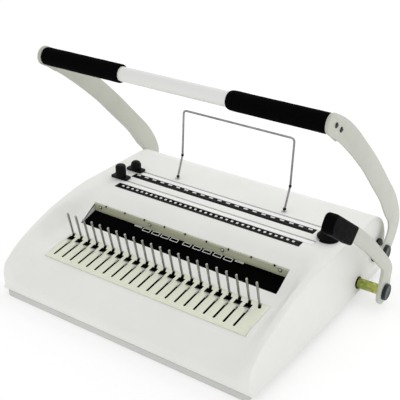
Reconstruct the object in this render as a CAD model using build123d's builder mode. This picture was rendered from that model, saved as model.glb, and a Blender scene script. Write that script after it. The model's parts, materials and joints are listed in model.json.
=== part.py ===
from build123d import *
from math import sin, cos, pi, radians, degrees, atan2
import os

# Manual punch-and-bind machine for plastic combs and 3:1 wire.
# Millimetres. +X to the operator's right, +Y to the back, +Z up.
# Origin: underside of the centre foot, on the table, at the middle of the machine.

# ---- driving dimensions -------------------------------------------------
COMB_PITCH = 14.2875          # plastic comb hole pitch
COMB_HOLES = 21
WIRE_PITCH = 8.4667           # 3:1 wire hole pitch
WIRE_HOLES = 34
FOOT_H = 3.0                  # rubber foot height
RIM_Z = 1.0                   # lower edge of the base rim
SKIRT_Z = 11.0                # lower edge of the cover
TOP_Z = 103.4                 # flat top of the cover
FRONT_Y = -170.0              # front face
FRONT_FOOT_Y = -168.0         # front face at its lower edge, slightly undercut
REAR_Y = 185.0                # rear face
REAR_R = 52.0                 # big rear rounding
WALL = 2.5                    # cover wall
BAY_X = 172.0                 # half width of the sunken bay
CREST_X = 189.0               # crest of the side cheek
SIDE_X = 204.0                # half width at the skirt
TAPER = 4.7                   # how much narrower each side is at the front
PLATE_Y, PLATE_Z = -123.0, 60.3   # front ends of the comb slots
PLATE_TILT = 7.57             # slope of the comb plate, degrees
PIN_TILT = 13.2               # forward lean of the comb pins
PIN_LEN = 36.5
PIN_R = 1.55
PIVOT_Y, PIVOT_Z = 157.3, 45.3    # main handle axis
SHAFT_R = 8.0
ARM_IN, ARM_OUT = 209.8, 212.0    # side arm faces
TUBE_Y, TUBE_Z = -41.0, 302.5     # handle tube axis
TUBE_R = 9.4
GRIP_R = 12.0
GRIP_IN = 79.5                # inner end of each grip
LEVER_Y, LEVER_Z = 102.5, 21.0    # comb lever axis
LEVER_R = 7.0
LEVER_IN, LEVER_OUT = 233.5, 238.5
CRANK = 40.0                  # comb lever crank radius
CRANK_HALF = 19.0             # crank swings this far either side of upright
HANDLE_SWING = 42.0           # degrees
PUNCH_STROKE = 8.0
CLOSE_STROKE = 14.0
RUN = 0.05                    # radial running clearance
GAP = 0.4                     # gap between parts that pass each other
WIRE_GAP_Y = (36.5, 40.0)     # front paper throat
COMB_GAP_Y = (74.5, 78.0)     # rear paper throat
THROAT_X = (-153.0, 164.0)
PUNCH_Z = 89.5                # height of both rows of punches
FLOOR_TILT = 15.5             # slope of the wire closing floor
WIRE_X, WIRE_Y = 89.6, 86.5   # feet of the paper support
WIRE_R = 1.5

os.makedirs("parts", exist_ok=True)

plate_plane = Plane(origin=(0, PLATE_Y, PLATE_Z), x_dir=(1, 0, 0),
                    z_dir=(0, -sin(radians(PLATE_TILT)), cos(radians(PLATE_TILT))))
comb_x = [(i - (COMB_HOLES - 1) / 2) * COMB_PITCH for i in range(COMB_HOLES)]
pin_x = [(i - COMB_HOLES / 2) * COMB_PITCH for i in range(COMB_HOLES + 1)]
wire_x = [(i - (WIRE_HOLES - 1) / 2) * WIRE_PITCH for i in range(WIRE_HOLES)]

# Side view outlines (Y, Z). Both have the same number of corners, so the
# side cheek is a straight blend from the bay floor up to its crest.
bay_line = [(FRONT_FOOT_Y, SKIRT_Z), (FRONT_Y, 25), (-160, 36), (-130, 59.4), (-90, 64.7), (-51, 69.9),
            (-19.6, 89), (2, 99.6), (16, TOP_Z), (REAR_Y - REAR_R, TOP_Z)]
crest_line = [(FRONT_FOOT_Y, SKIRT_Z), (FRONT_Y, 34), (-167, 49.5), (-140, 68.5), (-105, 82), (-70, 92.5),
              (-40, 98), (-14, 101.8), (6, TOP_Z), (REAR_Y - REAR_R, TOP_Z)]
c45 = cos(radians(45))
rear_mid = (REAR_Y - REAR_R + REAR_R * c45, TOP_Z - REAR_R + REAR_R * c45)
rear_low = (REAR_Y, TOP_Z - REAR_R)


def side_shape(points, lift=0.0, inset=0.0):
    """Closed side outline, inset by a wall when asked."""
    with BuildSketch(Plane.YZ.offset(lift)) as s:
        with BuildLine():
            Polyline(*points)
            ThreePointArc(points[-1], rear_mid, rear_low)
            Polyline(rear_low, (REAR_Y, SKIRT_Z), points[0])
        make_face()
        if inset:
            offset(amount=-inset, kind=Kind.INTERSECTION, mode=Mode.REPLACE)
    return s.sketch


def front_shape(inset=0.0, drop=0.0, at=300.0, narrow=0.0):
    """Closed front-view outline of the flared flanks."""
    side = [(0, -drop), (2.2, 2.5), (3.8, 6), (4.6, 13), (4.8, 23), (4.9, 41), (5.1, 65), (5.3, 81), (5.7, 94.4)]
    pts = [(SIDE_X - narrow - dx, SKIRT_Z + dz) for dx, dz in side]
    with BuildSketch(Plane.XZ.offset(-at)) as s:
        with BuildLine():
            Polyline(*[(x - inset, z) for x, z in pts], *[(-x + inset, z) for x, z in reversed(pts)], close=True)
        make_face()
    return s.sketch


def cheek_solid(side, inset):
    """Blend from the bay floor to the cheek crest."""
    with BuildPart() as cheek:
        add(side_shape(bay_line, side * BAY_X, inset))
        add(side_shape(crest_line, side * CREST_X, inset))
        loft(ruled=True)
    return cheek.part


def flank_solid(side, inset):
    with BuildPart() as flank:
        add(side_shape(crest_line, side * CREST_X, inset))
        extrude(amount=SIDE_X + 2 - CREST_X, dir=(side, 0, 0))
    return flank.part


def width_solid(inset, drop):
    """Front-view envelope: parallel at the back, a little narrower towards the front."""
    with BuildPart() as width:
        add(front_shape(inset, drop))
        extrude(amount=290, dir=(0, -1, 0))
    with BuildPart() as nose:
        add(front_shape(inset, drop, 10.0))
        add(front_shape(inset, drop, -180.0, TAPER))
        loft(ruled=True)
    with BuildPart() as both:
        add(width.part)
        add(nose.part)
    return both.part


def shell_solid(inset, drop):
    """Outer solid of the cover, or its cavity when inset."""
    cheeks = [cheek_solid(side, inset) for side in (1, -1)]
    flanks = [flank_solid(side, inset) for side in (1, -1)]
    width = width_solid(inset, drop)
    with BuildPart() as blank:
        add(side_shape(bay_line, 0, inset))
        extrude(amount=BAY_X, both=True, dir=(1, 0, 0))
        for piece in cheeks + flanks:
            add(piece)
        add(width, mode=Mode.INTERSECT)
    return blank.part


# ---- cover ---------------------------------------------------------------
outer_shape = shell_solid(0, 0)
inner_shape = shell_solid(WALL, 3)

with BuildPart() as cover:
    add(outer_shape)
    add(inner_shape, mode=Mode.SUBTRACT)
    # open underside
    with BuildSketch(Plane.XY.offset(SKIRT_Z - 1)):
        with Locations((0, (FRONT_FOOT_Y + 2.7 + REAR_Y - WALL) / 2)):
            Rectangle(2 * (SIDE_X - TAPER - 3.4), REAR_Y - WALL - FRONT_FOOT_Y - 2.7)
    extrude(amount=4, mode=Mode.SUBTRACT)
    # window for the comb plate
    with BuildSketch(plate_plane.offset(-8)):
        with Locations(((-153.15 + 163.65) / 2, (-7.25 + 50.55) / 2)):
            Rectangle(153.15 + 163.65, 7.25 + 50.55)
    extrude(amount=14, mode=Mode.SUBTRACT)
    # wire closing recess
    with BuildSketch(Plane.XY.offset(55)):
        with Locations((0, (-51 - 18.2) / 2)):
            Rectangle(317, 32.8)
    extrude(amount=60, mode=Mode.SUBTRACT)
    # paper throats
    for y0, y1 in ((28.8, 40.3), (66.8, 78.3)):
        with BuildSketch(Plane.XY.offset(TOP_Z - 6)):
            with Locations(((THROAT_X[0] + THROAT_X[1]) / 2, (y0 + y1) / 2)):
                Rectangle(THROAT_X[1] - THROAT_X[0] + 0.4, y1 - y0)
        extrude(amount=12, mode=Mode.SUBTRACT)
    # shallow seats for the two black strips
    for y0, y1 in ((16.0, 28.0), (54.0, 66.4)):
        with BuildSketch(Plane.XY.offset(TOP_Z - 0.7)):
            with Locations((0, (y0 + y1) / 2)):
                Rectangle(302, y1 - y0)
        extrude(amount=5, mode=Mode.SUBTRACT)
    # sockets of the paper support
    for sx in (1, -1):
        with Locations(Location((sx * WIRE_X, WIRE_Y - 0.6, TOP_Z - 1.2), (-22.3, 0, 0))):
            Cylinder(3.6, 9, mode=Mode.SUBTRACT)
    # main shaft holes and comb lever shaft hole
    with Locations(Location((0, PIVOT_Y, PIVOT_Z), (0, 90, 0))):
        Cylinder(12.2, 500, mode=Mode.SUBTRACT)
    with Locations(Location((195, LEVER_Y, LEVER_Z), (0, 90, 0))):
        Cylinder(8.7, 30, mode=Mode.SUBTRACT)
    # chip tray mouth at the back
    with BuildSketch(Plane.XY.offset(SKIRT_Z - 1)):
        with Locations((0, REAR_Y)):
            Rectangle(272.8, 20)
    extrude(amount=19.5, mode=Mode.SUBTRACT)
cover.part.label = "cover"
export_step(cover.part, "parts/cover.step")

# ---- base ----------------------------------------------------------------
with BuildPart() as base_tray:
    with BuildSketch(Plane.XY.offset(RIM_Z)):
        with Locations((0, 7.5)):
            RectangleRounded(385, 352, 5)
    extrude(amount=SKIRT_Z - 0.3 - RIM_Z)
    with BuildSketch(Plane.XY.offset(FOOT_H + 2)):
        with Locations((0, 7.5)):
            RectangleRounded(381, 348, 3)
    extrude(amount=20, mode=Mode.SUBTRACT)
    # recessed underside inside the rim
    with BuildSketch(Plane.XY.offset(RIM_Z)):
        with Locations((0, 7.5)):
            RectangleRounded(380, 347, 3)
    extrude(amount=FOOT_H - RIM_Z, mode=Mode.SUBTRACT)
    with BuildSketch(Plane.XY.offset(FOOT_H + 2)):
        with Locations((0, 180)):
            Rectangle(272.8, 20)
    extrude(amount=20, mode=Mode.SUBTRACT)
base_tray.part.label = "base_tray"
export_step(base_tray.part, "parts/base_tray.step")

foot_spots = [(-165, -140), (165, -140), (-165, 160), (165, 160), (0, 0)]
with BuildPart() as feet:
    with Locations(*[(x, y, 0) for x, y in foot_spots]):
        Cylinder(11, FOOT_H, align=(Align.CENTER, Align.CENTER, Align.MIN))
feet.part.label = "feet"
export_step(feet.part, "parts/feet.step")

# ---- side frames -----------------------------------------------------------
frame_line = [(-122, 5.0), (172, 5.0), (172, 62), (146, 92), (16, 92), (-24, 79), (-52, 60), (-122, 47)]
for sx, tag in ((-1, "left"), (1, "right")):
    with BuildPart() as side_frame:
        with BuildSketch(Plane.YZ.offset(sx * 170)):
            with BuildLine():
                Polyline(*frame_line, close=True)
            make_face()
        extrude(amount=2, both=True)
        with Locations(Location((sx * 170, PIVOT_Y, PIVOT_Z), (0, 90, 0))):
            Cylinder(SHAFT_R + RUN, 20, mode=Mode.SUBTRACT)
        if sx > 0:
            with Locations(Location((sx * 170, LEVER_Y, LEVER_Z), (0, 90, 0))):
                Cylinder(LEVER_R + RUN, 20, mode=Mode.SUBTRACT)
    side_frame.part.label = "side_frame_" + tag
    export_step(side_frame.part, "parts/side_frame_" + tag + ".step")

with BuildPart() as frame_beams:
    for y, z in ((-140, 26), (0, 40), (130, 40)):
        with Locations((0, y, z) if y > -130 else (0, -112, 30)):
            Box(335.9, 8, 12)
frame_beams.part.label = "frame_beams"
export_step(frame_beams.part, "parts/frame_beams.step")

# ---- comb plate, pins and pin bar -------------------------------------------
pin_dir = (0, -sin(radians(PIN_TILT)), cos(radians(PIN_TILT)))
PIN_FOOT_Y, PIN_FOOT_Z = -75.8, 66.6


def pin_location(x, up):
    return Location((x, PIN_FOOT_Y + pin_dir[1] * up, PIN_FOOT_Z + pin_dir[2] * up), (PIN_TILT, 0, 0))


with BuildPart() as comb_plate:
    with BuildSketch(plate_plane.offset(-2.8)):
        with Locations(((-153 + 163.5) / 2, (-7.1 + 50.4) / 2)):
            Rectangle(153 + 163.5, 7.1 + 50.4)
    extrude(amount=2.8)
    with BuildSketch(plate_plane.offset(-4)):
        with Locations(*[(x, 16.0) for x in comb_x]):
            SlotOverall(32.0, 3.0, rotation=90)
        with Locations(*[(x - 3.9, 38.6) for x in comb_x]):
            Rectangle(9.2, 8.4)
        with Locations(*[(x + 1.5, 45.6) for x in pin_x]):
            SlotOverall(10.2, 4.0, rotation=degrees(atan2(6.2, -3.0)))
    extrude(amount=8, mode=Mode.SUBTRACT)
comb_plate.part.label = "comb_plate"
export_step(comb_plate.part, "parts/comb_plate.step")

with BuildPart() as pin_bar:
    with BuildSketch(plate_plane.offset(-7.0)):
        with Locations((0, 48.2)):
            Rectangle(335.9, 8.4)
    extrude(amount=4.2)
    with Locations(*[pin_location(x, -2) for x in pin_x]):
        Cylinder(PIN_R, 12, mode=Mode.SUBTRACT)
pin_bar.part.label = "pin_bar"
export_step(pin_bar.part, "parts/pin_bar.step")

with BuildPart() as comb_pins:
    with Locations(*[pin_location(x, (PIN_LEN - 5.0) / 2) for x in pin_x]):
        Cylinder(PIN_R, PIN_LEN + 5.0)
    with Locations(*[pin_location(x, PIN_LEN) for x in pin_x]):
        Sphere(PIN_R)
comb_pins.part.label = "comb_pins"
export_step(comb_pins.part, "parts/comb_pins.step")

with BuildPart() as plate_rail:
    with BuildSketch(plate_plane.offset(-6.0)):
        with Locations((0, -4.4)):
            Rectangle(335.9, 5.0)
    extrude(amount=3.2)
plate_rail.part.label = "plate_rail"
export_step(plate_rail.part, "parts/plate_rail.step")

# ---- comb hooks, carriage and pull rod ---------------------------------------
with BuildPart() as comb_hooks:
    with BuildSketch(plate_plane.offset(-5.0)):
        with Locations(*[(x, 30.0) for x in comb_x]):
            Rectangle(1.6, 3.2)
    extrude(amount=6.7)
    with BuildSketch(plate_plane.offset(0.5)):
        with Locations(*[(x, 29.1) for x in comb_x]):
            Rectangle(1.6, 8.6)
    extrude(amount=1.2)
    with BuildSketch(plate_plane.offset(0.5)):
        with Locations(*[(x - 2.2, 33.6) for x in comb_x]):
            Rectangle(7.6, 1.0)
    extrude(amount=0.8)
comb_hooks.part.label = "comb_hooks"
export_step(comb_hooks.part, "parts/comb_hooks.step")

with BuildPart() as hook_carriage:
    with BuildSketch(plate_plane.offset(-10.0)):
        with Locations((0.0, 33.0)):
            Rectangle(302, 16)
    extrude(amount=5.0)
hook_carriage.part.label = "hook_carriage"
export_step(hook_carriage.part, "parts/hook_carriage.step")

crank_up_y = LEVER_Y + CRANK * sin(radians(CRANK_HALF))
crank_up_z = LEVER_Z + CRANK * cos(radians(CRANK_HALF))
with BuildPart() as pull_rod:
    with BuildSketch(Plane.YZ.offset(147.5)):
        with BuildLine():
            Polyline((-85.5, 54.7), (-70, 50.0), (crank_up_y - 8, 50.0), (crank_up_y - 8, 47.5), (crank_up_y + 8, 47.5),
                     (crank_up_y + 8, 69.0), (crank_up_y - 8, 69.0), (crank_up_y - 8, 57.0), (-65, 57.0),
                     (-81.9, 54.8), close=True)
        make_face()
        with Locations((crank_up_y, crank_up_z + 0.6)):
            Rectangle(7.0, 14.0, mode=Mode.SUBTRACT)
    extrude(amount=3.5)
pull_rod.part.label = "pull_rod"
export_step(pull_rod.part, "parts/pull_rod.step")

# ---- comb lever ----------------------------------------------------------------
with BuildPart() as lever_shaft:
    with Locations(Location(((152 + LEVER_IN) / 2, LEVER_Y, LEVER_Z), (0, 90, 0))):
        Cylinder(LEVER_R, LEVER_IN - 152)
lever_shaft.part.label = "lever_shaft"
export_step(lever_shaft.part, "parts/lever_shaft.step")

with BuildPart() as lever_crank:
    with BuildSketch(Plane.YZ.offset(152.0)):
        with Locations((LEVER_Y, LEVER_Z)):
            Circle(12)
        with Locations((crank_up_y, crank_up_z)):
            Circle(6)
        with BuildLine():
            Polyline((LEVER_Y - 9, LEVER_Z + 4), (LEVER_Y + 10, LEVER_Z + 2), (crank_up_y + 5.4, crank_up_z - 1),
                     (crank_up_y - 5.4, crank_up_z + 1), close=True)
        make_face()
        with Locations((LEVER_Y, LEVER_Z)):
            Circle(LEVER_R, mode=Mode.SUBTRACT)
    extrude(amount=5.0)
    with BuildSketch(Plane.YZ.offset(146.8)):
        with Locations((crank_up_y, crank_up_z)):
            Circle(3.0)
    extrude(amount=5.2)
# the shaft starts at the crank's inner face
lever_crank.part.label = "lever_crank"
export_step(lever_crank.part, "parts/lever_crank.step")

with BuildPart() as lever_bush:
    with BuildSketch(Plane.YZ.offset(190.0)):
        with Locations((LEVER_Y, LEVER_Z)):
            Circle(8.6)
            Circle(LEVER_R + RUN, mode=Mode.SUBTRACT)
    extrude(amount=10.8)
lever_bush.part.label = "lever_bush"
export_step(lever_bush.part, "parts/lever_bush.step")

# outline of the flat lever with its elbow, then the narrow tang inside the grip
lever_line = [(LEVER_Y + 18, LEVER_Z), (120.0, 34.2), (121.8, 41.5), (121.9, 48.2), (119.0, 55.0), (113.5, 62.8),
              (106.4, 70.8), (66.3, 108.9), (40.4, 133.1), (-5.6, 169.5), (-17.2, 169.5), (-52.0, 194.8),
              (-59.0, 185.0), (-24.0, 159.8), (-17.7, 155.1), (34.4, 112.1), (56.2, 92.8), (84.5, 65.6),
              (90.6, 60.4), (91.8, 53.0), (89.4, 43.0), (LEVER_Y - 18, LEVER_Z)]
with BuildPart() as lever_bar:
    with BuildSketch(Plane.YZ.offset(LEVER_IN)):
        with Locations((LEVER_Y, LEVER_Z)):
            Circle(18)
        with BuildLine():
            Polyline(*lever_line, close=True)
        make_face()
    extrude(amount=LEVER_OUT - LEVER_IN)
lever_bar.part.label = "lever_bar"
export_step(lever_bar.part, "parts/lever_bar.step")

GRIP_MID_X = (LEVER_IN + LEVER_OUT) / 2
GRIP_LEN, GRIP_WIDE, GRIP_THICK = 80.5, 24.0, 14.4
GRIP_SLANT = 6.0              # the near end is cut back on its lower side
grip_plane = Plane(origin=(GRIP_MID_X, -21.1, 164.5), x_dir=(0, -0.8118, 0.5840), z_dir=(-1, 0, 0))
grip_corners = [(0, GRIP_WIDE / 2), (GRIP_SLANT, -GRIP_WIDE / 2), (GRIP_LEN, -GRIP_WIDE / 2), (GRIP_LEN, GRIP_WIDE / 2)]
with BuildPart() as lever_grip:
    with BuildSketch(grip_plane.offset(-GRIP_THICK / 2)):
        with BuildLine():
            Polyline(*grip_corners, close=True)
        make_face()
        fillet(vertices().sort_by(Axis.X)[-2:], 8.5)
        fillet(vertices().sort_by(Axis.X)[:2], 2.5)
    extrude(amount=GRIP_THICK)
    fillet(lever_grip.faces().filter_by(Axis.X).edges(), 3)
    add(lever_bar.part, mode=Mode.SUBTRACT)
lever_grip.part.label = "lever_grip"
export_step(lever_grip.part, "parts/lever_grip.step")

with BuildPart() as lever_cap:
    with BuildSketch(Plane.YZ.offset(LEVER_OUT)):
        with Locations((LEVER_Y, LEVER_Z)):
            Circle(11.5)
    extrude(amount=5.0)
    fillet(lever_cap.edges().sort_by(Axis.X)[-1], 2.0)
lever_cap.part.label = "lever_cap"
export_step(lever_cap.part, "parts/lever_cap.step")

# ---- wire closing floor and bar ---------------------------------------------------
floor_plane = Plane(origin=(0, -50.7, 69.0), x_dir=(1, 0, 0),
                    z_dir=(0, -sin(radians(FLOOR_TILT)), cos(radians(FLOOR_TILT))))
with BuildPart() as closing_floor:
    with BuildSketch(floor_plane.offset(-4.0)):
        with Locations((0, 18.0)):
            Rectangle(316.4, 36.0)
    extrude(amount=4.0)
closing_floor.part.label = "closing_floor"
export_step(closing_floor.part, "parts/closing_floor.step")

close_x = [i * 34.35 for i in range(-4, 5)]
def floor_z(y):
    """Height of the closing floor at a given depth."""
    return 69.0 + (y + 50.7) * sin(radians(FLOOR_TILT)) / cos(radians(FLOOR_TILT))


BAR_Y0, BAR_Y1 = -20.8, -14.4
with BuildPart() as closing_bar:
    with BuildSketch(Plane.YZ.offset(-158.1)):
        with BuildLine():
            Polyline((BAR_Y0, floor_z(BAR_Y0) + GAP), (BAR_Y1, floor_z(BAR_Y1) + GAP), (BAR_Y1, 87.2),
                     (BAR_Y0 + 2.1, 85.0), (BAR_Y0 + 2.1, 88.9), (BAR_Y0, 88.9), close=True)
        make_face()
    extrude(amount=316.2)
    with BuildSketch(Plane.XY.offset(87.2)):
        with Locations(*[(x, BAR_Y0) for x in close_x]):
            Rectangle(3.0, 5.2)
    extrude(amount=8.0, mode=Mode.SUBTRACT)
    for x in (-147, -59, 60, 146):
        with Locations(Location((x, BAR_Y0, 85.0), (90, 0, 0))):
            Cylinder(1.6, 8, mode=Mode.SUBTRACT)
closing_bar.part.label = "closing_bar"
export_step(closing_bar.part, "parts/closing_bar.step")

with BuildPart() as closing_screws:
    for x in (-147, -59, 60, 146):
        with Locations(Location((x, BAR_Y0 + 1.5, 85.0), (90, 0, 0))):
            Cylinder(1.6, 3.0)
        with Locations(Location((x, BAR_Y0 - 0.8, 85.0), (90, 0, 0))):
            Cylinder(2.6, 1.6)
closing_screws.part.label = "closing_screws"
export_step(closing_screws.part, "parts/closing_screws.step")

rod_spots = (-110, 110)
ROD_Z = 84.2
ROD_LEN = 30.0
slope = (cos(radians(FLOOR_TILT)), sin(radians(FLOOR_TILT)))
rod_mid = (BAR_Y1 + (ROD_LEN / 2 + 0.85) * slope[0], ROD_Z + (ROD_LEN / 2 + 0.85) * slope[1])
with BuildPart() as closing_rods:
    for x in rod_spots:
        with Locations(Location((x, rod_mid[0], rod_mid[1]), (90 + FLOOR_TILT, 0, 0))):
            Cylinder(3.0, ROD_LEN)
closing_rods.part.label = "closing_rods"
export_step(closing_rods.part, "parts/closing_rods.step")

with BuildPart() as closing_guide:
    with Locations((0, 4.0, 78.5)):
        Box(335.9, 7.0, 31.0)
    for x in rod_spots:
        with Locations(Location((x, rod_mid[0], rod_mid[1]), (90 + FLOOR_TILT, 0, 0))):
            Cylinder(3.0 + RUN, 60, mode=Mode.SUBTRACT)
closing_guide.part.label = "closing_guide"
export_step(closing_guide.part, "parts/closing_guide.step")

# ---- paper throats with their dies --------------------------------------------------
def die_block(gap_y, holes, hole_w, hole_h):
    y0 = gap_y[0] - 7.5
    with BuildPart() as die:
        with BuildSketch(Plane.YZ.offset(-167.9)):
            with BuildLine():
                Polyline((y0, 80), (gap_y[1] + 3.5, 80), (gap_y[1] + 3.5, 94), (gap_y[1], 94), (gap_y[1], 85),
                         (gap_y[0], 85), (gap_y[0], 97), (y0, 97), close=True)
            make_face()
        extrude(amount=335.8)
        with BuildSketch(Plane.XY.offset(90)):
            with Locations(((THROAT_X[0] + THROAT_X[1]) / 2, (y0 + gap_y[0]) / 2)):
                Rectangle(THROAT_X[1] - THROAT_X[0], 7.5)
        extrude(amount=TOP_Z + 0.3 - 90)
        with BuildSketch(Plane.XZ.offset(-gap_y[1] - 10)):
            with Locations(*[(x, PUNCH_Z) for x in holes]):
                Rectangle(hole_w + 0.16, hole_h + 0.16)
        extrude(amount=40, mode=Mode.SUBTRACT)
    return die.part


wire_die_part = die_block(WIRE_GAP_Y, wire_x, 4.0, 4.0)
comb_die_part = die_block(COMB_GAP_Y, comb_x, 7.9, 2.9)
with BuildPart() as wire_die:
    add(wire_die_part)
wire_die.part.label = "wire_die"
export_step(wire_die.part, "parts/wire_die.step")
with BuildPart() as comb_die:
    add(comb_die_part)
comb_die.part.label = "comb_die"
export_step(comb_die.part, "parts/comb_die.step")

# ---- punches and their carriage --------------------------------------------------------
with BuildPart() as punch_carriage:
    with Locations((0, 100, 72.5)):
        Box(335, 100, 5)
    with Locations((0, 75.5, 72.5)):
        Box(290, 27, 8, mode=Mode.SUBTRACT)
    with Locations((0, 56.25, 84.0)):
        Box(300, 7.5, 20)
    with Locations((0, 94.0, 83.5)):
        Box(300, 8.0, 19)
punch_carriage.part.label = "punch_carriage"
export_step(punch_carriage.part, "parts/punch_carriage.step")

# follower lugs bolted under the carriage, pushed by the cams
lug_y = PIVOT_Y - 12.0 - GAP
with BuildPart() as carriage_lugs:
    for x in (-120, 120):
        with Locations((x, lug_y - 2.5, 60.0)):
            Box(12, 5, 20)
carriage_lugs.part.label = "carriage_lugs"
export_step(carriage_lugs.part, "parts/carriage_lugs.step")

with BuildPart() as wire_punches:
    with BuildSketch(Plane.XZ.offset(-52.5)):
        with Locations(*[(x, PUNCH_Z) for x in wire_x]):
            Rectangle(4.0, 4.0)
    extrude(amount=52.5 - 40.6)
wire_punches.part.label = "wire_punches"
export_step(wire_punches.part, "parts/wire_punches.step")

with BuildPart() as comb_punches:
    with BuildSketch(Plane.XZ.offset(-90.0)):
        with Locations(*[(x, PUNCH_Z) for x in comb_x]):
            Rectangle(7.9, 2.9)
    extrude(amount=90.0 - 78.6)
comb_punches.part.label = "comb_punches"
export_step(comb_punches.part, "parts/comb_punches.step")

# ---- black strips and white pin buttons ---------------------------------------------------
def strip(y0, y1, xs, w, d, yc):
    with BuildPart() as s:
        with BuildSketch(Plane.XY.offset(TOP_Z - 0.7)):
            with Locations((0, (y0 + y1) / 2)):
                Rectangle(301, y1 - y0)
            with Locations(*[(x, yc) for x in xs]):
                Rectangle(w + 0.4, d + 0.4, mode=Mode.SUBTRACT)
        extrude(amount=1.0)
    return s.part


def buttons(xs, w, d, yc):
    with BuildPart() as b:
        with BuildSketch(Plane.XY.offset(TOP_Z - 0.7)):
            with Locations(*[(x, yc) for x in xs]):
                Rectangle(w, d)
        extrude(amount=1.5)
    return b.part


with BuildPart() as front_strip:
    add(strip(16.1, 27.9, wire_x, 3.4, 3.4, 22.5))
front_strip.part.label = "front_strip"
export_step(front_strip.part, "parts/front_strip.step")
with BuildPart() as wire_buttons:
    add(buttons(wire_x, 3.4, 3.4, 22.5))
wire_buttons.part.label = "wire_buttons"
export_step(wire_buttons.part, "parts/wire_buttons.step")
with BuildPart() as rear_strip:
    add(strip(54.1, 66.3, comb_x, 6.4, 2.6, 63.0))
rear_strip.part.label = "rear_strip"
export_step(rear_strip.part, "parts/rear_strip.step")
with BuildPart() as comb_buttons:
    add(buttons(comb_x, 6.4, 2.6, 63.0))
comb_buttons.part.label = "comb_buttons"
export_step(comb_buttons.part, "parts/comb_buttons.step")

# ---- edge guides with knobs ---------------------------------------------------------------
def guide(x0, x1, y0, y1, knob_x, knob_y, gap_y):
    with BuildPart() as g:
        with BuildSketch(Plane.XY.offset(TOP_Z + 0.7)):
            with Locations(((x0 + x1) / 2, (y0 + y1) / 2)):
                RectangleRounded(x1 - x0, y1 - y0, 2.5)
            with Locations((knob_x, knob_y)):
                Circle(2.5 + RUN, mode=Mode.SUBTRACT)
        extrude(amount=2.5)
        with Locations((x1 - 4.0, (gap_y[0] + gap_y[1]) / 2, TOP_Z - 5.0)):
            Box(2.0, 2.5, 12.0)
    return g.part


def knob(x, y, r, h):
    z0 = TOP_Z + 0.7 + 2.5 + GAP
    with BuildPart() as k:
        with BuildSketch(Plane.XY.offset(z0)):
            with Locations((x, y)):
                Circle(r)
        extrude(amount=h)
        fillet(k.edges().sort_by(Axis.Z)[-1], 2.2)
        with BuildSketch(Plane.XY.offset(z0 - GAP - 2.2)):
            with Locations((x, y)):
                Circle(2.5)
        extrude(amount=GAP + 2.2)
    return k.part


with BuildPart() as front_guide:
    add(guide(-174.5, -146.0, 35.5, 49.0, -160.0, 42.0, WIRE_GAP_Y))
front_guide.part.label = "front_guide"
export_step(front_guide.part, "parts/front_guide.step")
with BuildPart() as front_knob:
    add(knob(-160.0, 42.0, 7.8, 18.0))
front_knob.part.label = "front_knob"
export_step(front_knob.part, "parts/front_knob.step")
with BuildPart() as rear_guide:
    add(guide(-172.0, -144.0, 68.0, 81.0, -158.0, 75.0, COMB_GAP_Y))
rear_guide.part.label = "rear_guide"
export_step(rear_guide.part, "parts/rear_guide.step")
with BuildPart() as rear_knob:
    add(knob(-158.0, 75.0, 7.8, 12.0))
rear_knob.part.label = "rear_knob"
export_step(rear_knob.part, "parts/rear_knob.step")

SELECT_X, SELECT_Y = 172.3, 55.5
with BuildPart() as selector_plate:
    with BuildSketch(Plane.XY.offset(TOP_Z)):
        with Locations((SELECT_X, SELECT_Y)):
            Circle(15.0)
            Circle(2.5 + RUN, mode=Mode.SUBTRACT)
        with Locations((150, 68)):
            Rectangle(32, 80, mode=Mode.SUBTRACT)
    extrude(amount=2.2)
selector_plate.part.label = "selector_plate"
export_step(selector_plate.part, "parts/selector_plate.step")
with BuildPart() as selector_knob:
    with BuildSketch(Plane.XY.offset(TOP_Z + 2.6)):
        with Locations((SELECT_X, SELECT_Y)):
            Circle(14.9)
    extrude(amount=1.8)
    with BuildSketch(Plane.XY.offset(TOP_Z + 4.4)):
        with Locations((SELECT_X, SELECT_Y)):
            Circle(10.6)
    extrude(amount=9.4)
    fillet(selector_knob.edges().sort_by(Axis.Z)[-1], 2.0)
    with BuildSketch(Plane.XY.offset(TOP_Z + 0.2)):
        with Locations((SELECT_X, SELECT_Y)):
            Circle(2.5)
    extrude(amount=2.4)
selector_knob.part.label = "selector_knob"
export_step(selector_knob.part, "parts/selector_knob.step")

# ---- wire paper support ---------------------------------------------------------------------
lean = (0, 0.379, 0.925)
foot = (WIRE_Y - lean[1] * 8.0, TOP_Z - lean[2] * 8.0)
with BuildPart() as paper_support:
    with BuildLine() as support_path:
        FilletPolyline((-WIRE_X, foot[0], foot[1]), (-WIRE_X - 0.3, 100.2, 137.0), (-WIRE_X - 0.6, 104.7, 205.0),
                       (WIRE_X + 0.6, 104.7, 205.0), (WIRE_X + 0.3, 100.2, 137.0), (WIRE_X, foot[0], foot[1]),
                       radius=5.0)
    with BuildSketch(Plane(origin=(-WIRE_X, foot[0], foot[1]), z_dir=lean)):
        Circle(WIRE_R)
    sweep()
paper_support.part.label = "paper_support"
export_step(paper_support.part, "parts/paper_support.step")

with BuildPart() as support_sockets:
    for sx in (1, -1):
        with Locations(Location((sx * WIRE_X, WIRE_Y - 1.5, TOP_Z - 3.6), (-22.3, 0, 0))):
            Cylinder(3.5, 10)
    with BuildSketch(Plane.XY.offset(TOP_Z + 1.6)):
        Rectangle(400, 400)
    extrude(amount=20, mode=Mode.SUBTRACT)
    for sx in (1, -1):
        with Locations(Location((sx * WIRE_X, WIRE_Y, TOP_Z), (-22.3, 0, 0))):
            Cylinder(WIRE_R + 0.08, 40, mode=Mode.SUBTRACT)
support_sockets.part.label = "support_sockets"
export_step(support_sockets.part, "parts/support_sockets.step")

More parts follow.
